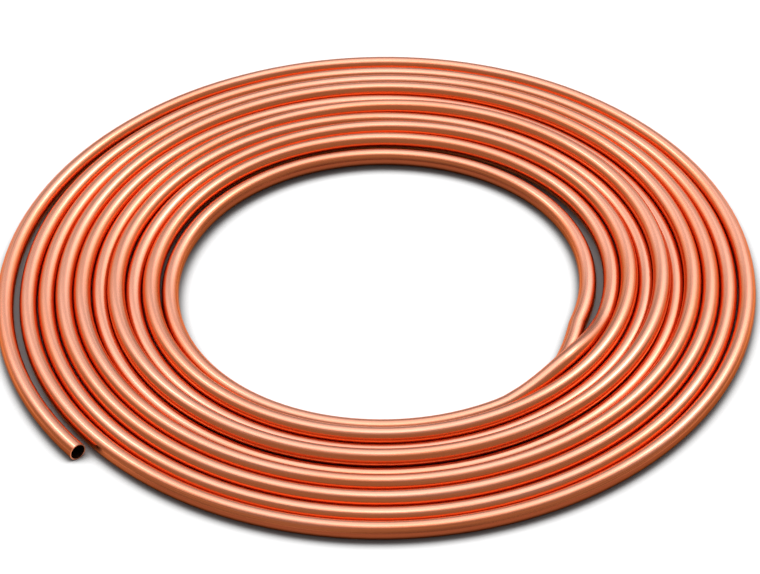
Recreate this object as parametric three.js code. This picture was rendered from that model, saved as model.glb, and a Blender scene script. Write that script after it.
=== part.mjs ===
// Coil of soft copper tube: one length of round tube, open at both cut ends, wound as a flat
// spiral of about ten turns that lies on the floor. Millimetres, +Z up. The origin is on the
// floor, under the middle of the coil's box. The tube's free outer end is at -X and points along -Y.
import * as THREE from 'three';

// Tube
const TUBE_OUTSIDE_DIAMETER = 15.88;
const TUBE_WALL = 1.02;
const COPPER_COLOUR = 0xd58a6a;
const COPPER_ROUGHNESS = 0.22;

// Coil. Angles run along the tube from its free outer end, clockwise seen from above.
const START_RADIUS = 339.5;          // centre of the coil to the middle of the tube, at the outer end
const TURNS = 9.72;
const OUTER_END_BEARING = 182;       // degrees, counter-clockwise from +X
const TURN_CLEARANCE = 0.3;          // left between turns that lie against each other
const CROSSING_START = -27;          // degrees: where each turn begins to ease into the next lane
const CROSSING_LENGTH = 238;         // degrees taken by that

// Lanes, counted from the free end inwards: how high each one rides above the floor, and the
// slack between it and the lane outside it.
const LANE_LIFT = [0, 0, 0.3, 4.1, 7, 0.5, 10.7, 2.6, 8.9, 3.6, 0];
const LANE_SLACK = [0, 1, 0.6, 0, 0, 0, 0, 0, 0, 0, 5.6];

// Ends: the outer one springs away from the coil, and the inner one is tucked under its neighbour.
const OUTER_END_SPRING = 4.2;
const OUTER_END_SPRING_LENGTH = 182; // degrees
const TUCK_LIFT = 10;                // how much the neighbour rides up over the inner end
const TUCK_LENGTH = 22;              // degrees each way from the inner end

// Facets
const OUTSIDE_FACETS = 12;
const BORE_FACETS = 8;
const STATIONS_PER_TURN = 32;

const FULL_TURN = 360;
const stationAngle = FULL_TURN / STATIONS_PER_TURN;
const stationCount = Math.round(TURNS * STATIONS_PER_TURN);
const routeAngle = stationCount * stationAngle;
const tubeRadius = TUBE_OUTSIDE_DIAMETER / 2;
const boreRadius = tubeRadius - TUBE_WALL;
const outsideCornerRadius = tubeRadius / Math.cos(Math.PI / OUTSIDE_FACETS);
const boreCornerRadius = boreRadius / Math.cos(Math.PI / BORE_FACETS);

function easeInOut(share) {
  return THREE.MathUtils.smoothstep(share, 0, 1);
}

// A lane value along the tube: steady for a part of each turn, then eased over to the next lane.
function laneValue(values, angle) {
  const crossings = (angle - CROSSING_START) / FULL_TURN;
  const lane = Math.floor(crossings);
  const last = values.length - 1;
  const from = values[Math.min(Math.max(lane, 0), last)];
  const to = values[Math.min(lane + 1, last)];
  const share = (crossings - lane) * FULL_TURN / CROSSING_LENGTH;
  return THREE.MathUtils.lerp(from, to, easeInOut(share));
}

// 1 right above the inner end, fading to 0 on either side of it.
function tuckShare(angle) {
  const fromInnerEnd = Math.abs(angle - (routeAngle - FULL_TURN));
  return 1 - easeInOut(fromInnerEnd / TUCK_LENGTH);
}

// The inner end itself comes down to the floor.
function liftAt(angle) {
  const intoInnerEnd = angle - (routeAngle - TUCK_LENGTH);
  const laneShare = 1 - easeInOut(intoInnerEnd / TUCK_LENGTH);
  return laneValue(LANE_LIFT, angle) * laneShare + TUCK_LIFT * tuckShare(angle);
}

// Plan distance between the middles of two turns that lie against each other, one of them raised
// by the given rise. The flats that face each other first hold them apart.
function seatDistance(rise) {
  const acrossFlats = TUBE_OUTSIDE_DIAMETER + TURN_CLEARANCE;
  let distance = Infinity;
  for (let flat = 0; flat < OUTSIDE_FACETS / 4; flat += 1) {
    const tilt = flat * 2 * Math.PI / OUTSIDE_FACETS;
    const held = (acrossFlats - Math.abs(rise) * Math.sin(tilt)) / Math.cos(tilt);
    distance = Math.min(distance, held);
  }
  return distance;
}

// Plan distance from a turn to the turn outside it, which touches it or leaves the lane's slack.
function turnSpacing(angle) {
  const outerAngle = angle - FULL_TURN;
  const rise = liftAt(angle) - liftAt(outerAngle);
  const slack = laneValue(LANE_SLACK, angle) * (1 - tuckShare(outerAngle));
  return seatDistance(rise) + slack;
}

const firstTurnFeed = turnSpacing(FULL_TURN);

// Each turn after the first is laid against the turn outside it.
function windingRadius(angle) {
  if (angle < FULL_TURN) {
    return START_RADIUS - firstTurnFeed * angle / FULL_TURN;
  }
  return windingRadius(angle - FULL_TURN) - turnSpacing(angle);
}

function centreRadius(angle) {
  const spring = OUTER_END_SPRING * (1 - easeInOut(angle / OUTER_END_SPRING_LENGTH));
  return windingRadius(angle) + spring;
}

// The middle of the tube. Its stations stand at the same bearings in every turn, so that the
// facets of neighbouring turns run side by side.
class CoilRoute extends THREE.Curve {
  getPoint(share, target = new THREE.Vector3()) {
    const angle = share * routeAngle;
    const bearing = THREE.MathUtils.degToRad(OUTER_END_BEARING - angle);
    const radius = centreRadius(angle);
    const height = tubeRadius + liftAt(angle);
    return target.set(radius * Math.cos(bearing), radius * Math.sin(bearing), height);
  }

  getPointAt(share, target) {
    return this.getPoint(share, target);
  }

  // Every section stands upright: its x axis points away from the coil and its y axis up.
  computeFrenetFrames(segments) {
    const up = new THREE.Vector3(0, 0, 1);
    const tangents = [];
    const normals = [];
    const binormals = [];
    for (let station = 0; station <= segments; station += 1) {
      const tangent = this.getTangent(station / segments).setZ(0).normalize();
      tangents.push(tangent);
      normals.push(new THREE.Vector3().crossVectors(up, tangent));
      binormals.push(up.clone());
    }
    return { tangents, normals, binormals };
  }
}

// Points of a regular polygon that has a flat at its bottom.
function polygonPoints(cornerRadius, facets) {
  const points = [];
  for (let corner = 0; corner < facets; corner += 1) {
    const angle = (corner + 0.5) * 2 * Math.PI / facets;
    points.push(new THREE.Vector2(cornerRadius * Math.cos(angle), cornerRadius * Math.sin(angle)));
  }
  return points;
}

// The flats of both polygons touch the true circles, so diameters are true across flats.
function tubeSection() {
  const section = new THREE.Shape(polygonPoints(outsideCornerRadius, OUTSIDE_FACETS));
  section.holes.push(new THREE.Path(polygonPoints(boreCornerRadius, BORE_FACETS)));
  return section;
}

function copperMaterial() {
  return new THREE.MeshStandardMaterial({
    color: COPPER_COLOUR,
    roughness: COPPER_ROUGHNESS,
    metalness: 1,
  });
}

function tubeCoil() {
  const geometry = new THREE.ExtrudeGeometry(tubeSection(), {
    steps: stationCount,
    extrudePath: new CoilRoute(),
  });
  const mesh = new THREE.Mesh(geometry, copperMaterial());
  mesh.name = 'copper_tube';
  return mesh;
}

const coil = new THREE.Group();
const tube = tubeCoil();
tube.geometry.computeBoundingBox();
const middle = tube.geometry.boundingBox.getCenter(new THREE.Vector3());
tube.position.set(-middle.x, -middle.y, 0);
coil.add(tube);

export default coil;
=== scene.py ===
"""Looks of a flat coil of soft copper tube, lying on a pale studio floor. Metres, +Z up."""
import math

import bmesh
import bpy
from mathutils import Matrix, Vector


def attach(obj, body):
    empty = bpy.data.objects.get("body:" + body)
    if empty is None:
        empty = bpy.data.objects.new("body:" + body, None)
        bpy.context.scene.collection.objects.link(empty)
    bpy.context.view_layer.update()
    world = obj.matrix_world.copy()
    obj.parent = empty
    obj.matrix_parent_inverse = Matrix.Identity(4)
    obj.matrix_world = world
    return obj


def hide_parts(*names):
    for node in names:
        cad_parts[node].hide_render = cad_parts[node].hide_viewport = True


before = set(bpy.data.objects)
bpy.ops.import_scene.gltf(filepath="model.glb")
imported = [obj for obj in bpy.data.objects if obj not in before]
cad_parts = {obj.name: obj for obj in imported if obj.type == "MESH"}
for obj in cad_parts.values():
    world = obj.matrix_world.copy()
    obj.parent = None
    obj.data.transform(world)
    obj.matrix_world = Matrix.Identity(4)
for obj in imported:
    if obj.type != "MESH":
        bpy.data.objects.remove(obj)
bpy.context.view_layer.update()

# The tube
TUBE_RADIUS = 0.00794
TUBE_WALL = 0.00102

# The coil's route. Angles run along the tube from its free outer end, in degrees.
START_RADIUS = 0.3395
TURNS = 9.72
OUTER_END_BEARING = 182
TURN_CLEARANCE = 0.0003
CROSSING_START = -27
CROSSING_LENGTH = 238
LANE_LIFT = [0, 0, 0.0003, 0.0041, 0.007, 0.0005, 0.0107, 0.0026, 0.0089, 0.0036, 0]
LANE_SLACK = [0, 0.001, 0.0006, 0, 0, 0, 0, 0, 0, 0, 0.0056]
OUTER_END_SPRING = 0.0042
OUTER_END_SPRING_LENGTH = 182
TUCK_LIFT = 0.010
TUCK_LENGTH = 22

# The CAD tube's facets, which the coil is set against
OUTSIDE_FACETS = 12
STATIONS_PER_TURN = 32

# The fine tube's own facets
TUBE_SIDES = 28
RINGS_PER_TURN = 144

FULL_TURN = 360
STATION_ANGLE = FULL_TURN / STATIONS_PER_TURN
ROUTE_ANGLE = round(TURNS * STATIONS_PER_TURN) * STATION_ANGLE

# The fine tube runs midway between the corners and the flats of the CAD tube's turns, which keeps
# it inside the CAD tube's box.
DRAWN_IN = (1 + math.cos(math.radians(STATION_ANGLE / 2))) / 2

# The camera looks at the coil's centre on the floor.
CAMERA_DISTANCE = 2.931
CAMERA_BEARING = 232
CAMERA_ELEVATION = 39.7
CAMERA_ROLL = 1.17
CAMERA_LENS = 153.3
CAMERA_SENSOR = 36
CAMERA_SHIFT = (-0.00375, 0.0006)

# The paper floor. It glows where it is open to the sky, and the glow fades near the coil as a painted
# shadow.
FLOOR_REACH = 30
FLOOR_COLOUR = (0.32, 0.32, 0.32, 1)
FLOOR_ROUGHNESS = 0.9
FLOOR_GLOW = 0.8
SHADE_REACH = 0.02
SHADE_SAMPLES = 16
OPENNESS = (0.45, 0.9)          # where the glow begins, and where it is full

# The studio's soft light, as glows of the room: (azimuth, elevation, core, edge, brightness), with
# the core and the edge as degrees from the middle. An azimuth of 0 is behind the coil as the camera
# sees it, and more is to the right.
ROOM_BRIGHTNESS = 0.42
GLOWS = [
    (0, 84, 0, 30, 1.25),
    (0, 84, 0, 9, 2.4),
    (6, 42, 0, 20, 0.5),
    (-46, 52, 0, 34, 1.3),
    (-43, 52, 0, 9, 4),
    (42, 49, 0, 34, 1.5),
    (42, 50, 0, 11, 5.5),
    (-42, 10, 0, 30, 0.5),
    (42, 10, 0, 30, 0.5),
]
WHITE = (1, 1, 1, 1)

# Marks along the tube: name, cells a metre across, up and along it, and detail
MARKS = [
    ("Patches", (60, 60, 9), 3),
    ("Lines", (700, 700, 7), 2),
]
MARK_SPREAD = (0.3, 0.7)        # nearly all of a mark's values lie between these
BOTH_MARKS_SPREAD = (0.7, 1.3)  # the same for the sum of both marks
LINE_DEPTH = 0.00008

# The copper: a painted highlight on top, painted shade in red on the flanks that neighbouring turns
# shelter, and painted shade in dull brown low on the flanks that face out of the coil. EDGE_COPPER is
# the metal's tint at a grazing angle.
PAINTED_HIGHLIGHT_COPPER = (0.7, 0.275, 0.165, 1)
PAINTED_SHADE_COPPER = (0.73, 0.19, 0.066, 1)
PAINTED_LOW_SHADE_COPPER = (0.28, 0.062, 0.023, 1)
# The bore's colours: painted shade, near black.
PAINTED_SHADE_BORE_COPPER = (0.05, 0.018, 0.011, 1)
PAINTED_SHADE_BORE_MOTTLE = (0.16, 0.055, 0.032, 1)
EDGE_COPPER = (1, 0.6, 0.45, 1)
DRAWN_ROUGHNESS = (0.22, 0.32)
BORE_ROUGHNESS = (0.4, 0.6)
CUT_ROUGHNESS = (0.25, 0.45)

# The coat is a clear sheen that the lamps light, laid where the highlight is painted. Its weights
# are on the painted shade and on the painted highlight copper.
COAT_WEIGHTS = (0, 0.75)
COAT_ROUGHNESS = 0.12
COAT_IOR = 1.9

# Where the painted highlight and the painted shade change. Heights are above the tube's middle, and
# lengths run along the tube from its free outer end.
PAINTED_HIGHLIGHT_HEIGHTS = (0.0052, 0.0083)
PAINTED_LOW_SHADE_HEIGHTS = (0.0045, 0.0025)
HEIGHT_DRIFT = 0.0005           # how far the patches move those heights, so the painted highlight and shade wander
OUTER_TURN_ENDS = (2, 2.2)
INNER_TURN_BEGINS = (14.7, 14.9)
FLANK = 0.002


def smooth(share):
    share = min(max(share, 0), 1)
    return share * share * (3 - 2 * share)


def lane_value(values, angle):
    """A lane's value: steady round each turn, and eased over to the next lane at the crossing."""
    crossings = (angle - CROSSING_START) / FULL_TURN
    lane = math.floor(crossings)
    last = len(values) - 1
    before = values[min(max(lane, 0), last)]
    after = values[min(lane + 1, last)]
    share = smooth((crossings - lane) * FULL_TURN / CROSSING_LENGTH)
    return before + (after - before) * share


def tuck_share(angle):
    """1 right above the inner end, fading to 0 on either side of it."""
    from_inner_end = abs(angle - (ROUTE_ANGLE - FULL_TURN))
    return 1 - smooth(from_inner_end / TUCK_LENGTH)


def lift_at(angle):
    """How high the tube rides. The inner end itself comes down to the floor."""
    into_inner_end = angle - (ROUTE_ANGLE - TUCK_LENGTH)
    lane_share = 1 - smooth(into_inner_end / TUCK_LENGTH)
    return lane_value(LANE_LIFT, angle) * lane_share + TUCK_LIFT * tuck_share(angle)


def seat_distance(rise):
    """Plan distance between two turns that lie flat to flat, one raised by the rise."""
    across_flats = 2 * TUBE_RADIUS + TURN_CLEARANCE
    held = []
    for flat in range(OUTSIDE_FACETS // 4):
        tilt = flat * 2 * math.pi / OUTSIDE_FACETS
        held.append((across_flats - abs(rise) * math.sin(tilt)) / math.cos(tilt))
    return min(held)


def turn_spacing(angle):
    """Plan distance from a turn to the turn outside it."""
    outer_angle = angle - FULL_TURN
    rise = lift_at(angle) - lift_at(outer_angle)
    slack = lane_value(LANE_SLACK, angle) * (1 - tuck_share(outer_angle))
    return seat_distance(rise) + slack


def winding_radius(angle):
    if angle < FULL_TURN:
        return START_RADIUS - turn_spacing(FULL_TURN) * angle / FULL_TURN
    return winding_radius(angle - FULL_TURN) - turn_spacing(angle)


def route_point(angle):
    """The middle of the tube, with the coil's centre at X = Y = 0."""
    spring = OUTER_END_SPRING * (1 - smooth(angle / OUTER_END_SPRING_LENGTH))
    radius = winding_radius(angle) + spring
    bearing = math.radians(OUTER_END_BEARING - angle)
    return Vector((radius * math.cos(bearing), radius * math.sin(bearing), TUBE_RADIUS + lift_at(angle)))


def route_points(count):
    return [route_point(ROUTE_ANGLE * ring / (count - 1)) for ring in range(count)]


def route_directions(points):
    """The direction of the tube at each point."""
    last = len(points) - 1
    return [
        (points[min(ring + 1, last)] - points[max(ring - 1, 0)]).normalized()
        for ring in range(len(points))
    ]


def coil_centre():
    """Where the coil's centre lies: the middle of the CAD tube's box is on the origin."""
    points = route_points(round(TURNS * STATIONS_PER_TURN) + 1)
    low = Vector((0, 0, 0))
    high = Vector((0, 0, 0))
    for point, direction in zip(points, route_directions(points)):
        side = direction.cross(Vector((0, 0, 1))).normalized() * TUBE_RADIUS
        for axis in (0, 1):
            low[axis] = min(low[axis], point[axis] - abs(side[axis]))
            high[axis] = max(high[axis], point[axis] + abs(side[axis]))
    middle = (low + high) / 2
    return Vector((-middle.x, -middle.y, 0))


COIL_CENTRE = coil_centre()


def tube_mesh(points):
    """A poly curve with a round bevel, made a mesh: rings of TUBE_SIDES corners, open at both ends."""
    curve = bpy.data.curves.new("tube_route", "CURVE")
    curve.dimensions = "3D"
    curve.twist_mode = "Z_UP"
    curve.bevel_depth = TUBE_RADIUS
    curve.bevel_resolution = (TUBE_SIDES - 4) // 2
    spline = curve.splines.new("POLY")
    spline.points.add(len(points) - 1)
    for spline_point, point in zip(spline.points, points):
        spline_point.co = (*point, 1)
    holder = bpy.data.objects.new("tube_route", curve)
    bpy.context.scene.collection.objects.link(holder)
    bpy.context.view_layer.update()
    mesh = bpy.data.meshes.new_from_object(holder.evaluated_get(bpy.context.evaluated_depsgraph_get()))
    bpy.data.objects.remove(holder)
    mesh.name = "tube"
    return mesh


def add_straightened(mesh, points):
    """Gives every corner its place on the tube as drawn straight: across, up, and along its length."""
    directions = route_directions(points)
    lengths = [0]
    for before, after in zip(points, points[1:]):
        lengths.append(lengths[-1] + (after - before).length)
    values = []
    for index, vertex in enumerate(mesh.vertices):
        ring = index // TUBE_SIDES
        offset = vertex.co - points[ring]
        outward = Vector((0, 0, 1)).cross(directions[ring]).normalized()
        values += [offset.dot(outward), offset.z, lengths[ring]]
    attribute = mesh.attributes.new("straightened", "FLOAT_VECTOR", "POINT")
    attribute.data.foreach_set("vector", values)


def shade_smooth(mesh):
    """Shades the tube smooth along its length, with sharp edges round its cut ends."""
    for face in mesh.polygons:
        face.use_smooth = True
    last_ring = len(mesh.vertices) - TUBE_SIDES
    for edge in mesh.edges:
        corners = edge.vertices
        edge.use_edge_sharp = max(corners) < TUBE_SIDES or min(corners) >= last_ring


def new_material(name):
    material = bpy.data.materials.new(name)
    material.use_nodes = True
    return material, material.node_tree.nodes, material.node_tree.links


def add_range(nodes, links, value, values, results, interpolation="LINEAR"):
    """Carries a value from one range over to another, and holds it there."""
    spread = nodes.new("ShaderNodeMapRange")
    spread.interpolation_type = interpolation
    spread.inputs["From Min"].default_value, spread.inputs["From Max"].default_value = values
    spread.inputs["To Min"].default_value, spread.inputs["To Max"].default_value = results
    links.new(value, spread.inputs["Value"])
    return spread.outputs["Result"]


def add_math(nodes, links, operation, first, second):
    """The sum, product or larger one of two values. The second may be a fixed number."""
    math_node = nodes.new("ShaderNodeMath")
    math_node.operation = operation
    links.new(first, math_node.inputs[0])
    if isinstance(second, bpy.types.NodeSocket):
        links.new(second, math_node.inputs[1])
    else:
        math_node.inputs[1].default_value = second
    return math_node.outputs["Value"]


def add_mix(nodes, links, share, first, second):
    """A colour that goes from the first to the second. Either is a fixed colour or a socket."""
    mix = nodes.new("ShaderNodeMix")
    mix.data_type = "RGBA"
    sockets = [socket for socket in mix.inputs if socket.type == "RGBA"]
    for socket, colour in zip(sockets, (first, second)):
        if isinstance(colour, tuple):
            socket.default_value = colour
        else:
            links.new(colour, socket)
    links.new(share, mix.inputs["Factor"])
    return next(socket for socket in mix.outputs if socket.type == "RGBA")


def add_noise(nodes, links, place, stretch, detail):
    """Noise read at the place, which is stretched first."""
    stretched = nodes.new("ShaderNodeVectorMath")
    stretched.operation = "MULTIPLY"
    stretched.inputs[1].default_value = stretch
    links.new(place, stretched.inputs[0])
    noise = nodes.new("ShaderNodeTexNoise")
    noise.inputs["Scale"].default_value = 1
    noise.inputs["Detail"].default_value = detail
    links.new(stretched.outputs["Vector"], noise.inputs["Vector"])
    return noise.outputs["Fac"]


def drawn_marks():
    """What drawing and handling leave on the tube: patches of tarnish and fine lines along it."""
    group = bpy.data.node_groups.new("drawn_marks", "ShaderNodeTree")
    group.interface.new_socket("Place", in_out="INPUT", socket_type="NodeSocketVector")
    start = group.nodes.new("NodeGroupInput")
    end = group.nodes.new("NodeGroupOutput")
    for name, stretch, detail in MARKS:
        group.interface.new_socket(name, in_out="OUTPUT", socket_type="NodeSocketFloat")
        noise = add_noise(group.nodes, group.links, start.outputs["Place"], stretch, detail)
        group.links.new(noise, end.inputs[name])
    return group


DRAWN_MARKS = drawn_marks()


def add_place(nodes):
    """The place on the tube as drawn straight."""
    straightened = nodes.new("ShaderNodeAttribute")
    straightened.attribute_name = "straightened"
    return straightened.outputs["Vector"]


def add_marks(nodes, links, place):
    marks = nodes.new("ShaderNodeGroup")
    marks.node_tree = DRAWN_MARKS
    links.new(place, marks.inputs["Place"])
    return marks.outputs


def add_finish(nodes, links, marks, roughnesses, shader):
    """The drawn lines vary the roughness and stand a little proud."""
    roughness = add_range(nodes, links, marks["Lines"], MARK_SPREAD, roughnesses)
    links.new(roughness, shader.inputs["Roughness"])
    bump = nodes.new("ShaderNodeBump")
    bump.inputs["Distance"].default_value = LINE_DEPTH
    links.new(marks["Lines"], bump.inputs["Height"])
    links.new(bump.outputs["Normal"], shader.inputs["Normal"])


def add_flank(nodes, links, parts, lengths, turn_shares, acrosses):
    """1 on one flank of one turn, and 0 elsewhere."""
    turn = add_range(nodes, links, parts.outputs["Z"], lengths, turn_shares)
    side = add_range(nodes, links, parts.outputs["X"], acrosses, (0, 1))
    return add_math(nodes, links, "MULTIPLY", turn, side)


def add_painted_low_shade(nodes, links, parts, height):
    """1 low on the coil's outside and in its eye, where the brown shade is painted, and 0 elsewhere."""
    outside = add_flank(nodes, links, parts, OUTER_TURN_ENDS, (1, 0), (-FLANK, FLANK))
    in_eye = add_flank(nodes, links, parts, INNER_TURN_BEGINS, (0, 1), (FLANK, -FLANK))
    facing_out = add_math(nodes, links, "MAXIMUM", outside, in_eye)
    low = add_range(nodes, links, height, PAINTED_LOW_SHADE_HEIGHTS, (0, 1))
    return add_math(nodes, links, "MULTIPLY", facing_out, low)


def copper_material():
    """Drawn copper with a painted highlight on top and painted shade on its flanks, set by height."""
    material, nodes, links = new_material("drawn_copper")
    shader = nodes["Principled BSDF"]
    shader.inputs["Metallic"].default_value = 1
    shader.inputs["Specular Tint"].default_value = EDGE_COPPER
    shader.inputs["Coat Roughness"].default_value = COAT_ROUGHNESS
    shader.inputs["Coat IOR"].default_value = COAT_IOR
    place = add_place(nodes)
    marks = add_marks(nodes, links, place)
    parts = nodes.new("ShaderNodeSeparateXYZ")
    links.new(place, parts.inputs["Vector"])
    drift = add_range(nodes, links, marks["Patches"], MARK_SPREAD, (-HEIGHT_DRIFT, HEIGHT_DRIFT))
    height = add_math(nodes, links, "ADD", parts.outputs["Y"], drift)
    # The painted highlight: 1 high on the tube, 0 lower down.
    brightness = add_range(nodes, links, height, PAINTED_HIGHLIGHT_HEIGHTS, (0, 1), "SMOOTHSTEP")
    painted_low_shade = add_painted_low_shade(nodes, links, parts, height)
    # The painted shade: red on the sheltered flanks, dull brown low on the flanks that face out of the
    # coil.
    dark = add_mix(nodes, links, painted_low_shade, PAINTED_SHADE_COPPER, PAINTED_LOW_SHADE_COPPER)
    colour = add_mix(nodes, links, brightness, dark, PAINTED_HIGHLIGHT_COPPER)
    links.new(colour, shader.inputs["Base Color"])
    coat = add_range(nodes, links, brightness, (0, 1), COAT_WEIGHTS)
    links.new(coat, shader.inputs["Coat Weight"])
    add_finish(nodes, links, marks, DRAWN_ROUGHNESS, shader)
    return material


def mottled_material(name, first, second, roughnesses):
    """Copper that the patches and lines mottle between two colours."""
    material, nodes, links = new_material(name)
    shader = nodes["Principled BSDF"]
    shader.inputs["Metallic"].default_value = 1
    marks = add_marks(nodes, links, add_place(nodes))
    both = add_math(nodes, links, "ADD", marks["Patches"], marks["Lines"])
    share = add_range(nodes, links, both, BOTH_MARKS_SPREAD, (0, 1))
    links.new(add_mix(nodes, links, share, first, second), shader.inputs["Base Color"])
    add_finish(nodes, links, marks, roughnesses, shader)
    return material


def bore_material():
    """The inside of the tube, painted near black for its shade and mottled at random."""
    return mottled_material("painted_shade_bore_copper", PAINTED_SHADE_BORE_COPPER, PAINTED_SHADE_BORE_MOTTLE, BORE_ROUGHNESS)


def cut_material():
    """The cut rim at each end, with the marks of the cutter, mottled at random between the two colours
    of the painted shade and the painted highlight.
    """
    return mottled_material("cut_copper", PAINTED_SHADE_COPPER, PAINTED_HIGHLIGHT_COPPER, CUT_ROUGHNESS)


def copper_tube():
    drawn_in = Matrix.Diagonal((DRAWN_IN, DRAWN_IN, 1))
    points = route_points(round(TURNS * RINGS_PER_TURN) + 1)
    points = [drawn_in @ point + COIL_CENTRE for point in points]
    mesh = tube_mesh(points)
    add_straightened(mesh, points)
    shade_smooth(mesh)
    tube = bpy.data.objects.new("coiled_tube", mesh)
    bpy.context.scene.collection.objects.link(tube)
    wall = tube.modifiers.new("wall", "SOLIDIFY")
    wall.thickness = TUBE_WALL
    wall.offset = -1
    mesh.materials.clear()
    for material in (copper_material(), bore_material(), cut_material()):
        mesh.materials.append(material)
    wall.material_offset = mesh.materials.find("painted_shade_bore_copper")
    wall.material_offset_rim = mesh.materials.find("cut_copper")
    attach(tube, "root")
    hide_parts("copper_tube")
    return tube


def direction_to(bearing, elevation):
    """A unit vector. The bearing is counter-clockwise from +X, and both are in degrees."""
    bearing = math.radians(bearing)
    elevation = math.radians(elevation)
    return Vector((
        math.cos(bearing) * math.cos(elevation),
        math.sin(bearing) * math.cos(elevation),
        math.sin(elevation),
    ))


def camera():
    data = bpy.data.cameras.new("camera")
    data.lens = CAMERA_LENS
    data.sensor_width = CAMERA_SENSOR
    data.shift_x, data.shift_y = CAMERA_SHIFT
    back = direction_to(CAMERA_BEARING, CAMERA_ELEVATION)
    right = Vector((0, 0, 1)).cross(back).normalized()
    up = back.cross(right)
    roll = Matrix.Rotation(math.radians(-CAMERA_ROLL), 3, "Z")
    turned = Matrix((right, up, back)).transposed() @ roll
    eye = bpy.data.objects.new("camera", data)
    eye.matrix_world = Matrix.Translation(COIL_CENTRE + back * CAMERA_DISTANCE) @ turned.to_4x4()
    bpy.context.scene.collection.objects.link(eye)
    bpy.context.scene.camera = eye


def floor_material():
    """White paper. The camera, and what mirrors it, see its glow, which lights nothing. The glow fades
    near the coil as a painted shadow.
    """
    material, nodes, links = new_material("floor_paper")
    shader = nodes["Principled BSDF"]
    shader.inputs["Base Color"].default_value = FLOOR_COLOUR
    shader.inputs["Roughness"].default_value = FLOOR_ROUGHNESS
    shader.inputs["Specular IOR Level"].default_value = 0
    shader.inputs["Emission Color"].default_value = WHITE
    openness = nodes.new("ShaderNodeAmbientOcclusion")
    openness.inputs["Distance"].default_value = SHADE_REACH
    openness.samples = SHADE_SAMPLES
    glow = add_range(nodes, links, openness.outputs["AO"], OPENNESS, (0, FLOOR_GLOW), "SMOOTHSTEP")
    rays = nodes.new("ShaderNodeLightPath")
    seen = rays.outputs["Is Camera Ray"]
    for name in ("Is Glossy Ray", "Is Transmission Ray"):
        seen = add_math(nodes, links, "MAXIMUM", seen, rays.outputs[name])
    links.new(add_math(nodes, links, "MULTIPLY", glow, seen), shader.inputs["Emission Strength"])
    return material


def floor():
    mesh = bpy.data.meshes.new("floor")
    shape = bmesh.new()
    bmesh.ops.create_grid(shape, x_segments=1, y_segments=1, size=FLOOR_REACH)
    shape.to_mesh(mesh)
    shape.free()
    plane = bpy.data.objects.new("floor", mesh)
    bpy.context.scene.collection.objects.link(plane)
    mesh.materials.append(floor_material())


def add_glow(nodes, links, direction, azimuth, elevation, core, edge, brightness):
    """Brightness that fades from the glow's core to its edge."""
    closeness = nodes.new("ShaderNodeVectorMath")
    closeness.operation = "DOT_PRODUCT"
    closeness.inputs[1].default_value = direction_to(CAMERA_BEARING + 180 - azimuth, elevation)
    links.new(direction, closeness.inputs[0])
    reach = (math.cos(math.radians(edge)), math.cos(math.radians(core)))
    return add_range(nodes, links, closeness.outputs["Value"], reach, (0, brightness), "SMOOTHSTEP")


def studio():
    world = bpy.data.worlds.new("studio")
    bpy.context.scene.world = world
    world.use_nodes = True
    nodes = world.node_tree.nodes
    links = world.node_tree.links
    direction = nodes.new("ShaderNodeTexCoord").outputs["Generated"]
    first, *others = [add_glow(nodes, links, direction, *glow) for glow in GLOWS]
    brightness = add_math(nodes, links, "ADD", first, ROOM_BRIGHTNESS)
    for glow in others:
        brightness = add_math(nodes, links, "ADD", brightness, glow)
    background = nodes["Background"]
    background.inputs["Color"].default_value = WHITE
    links.new(brightness, background.inputs["Strength"])


bpy.context.scene.view_settings.view_transform = "Standard"
camera()
copper_tube()
floor()
studio()
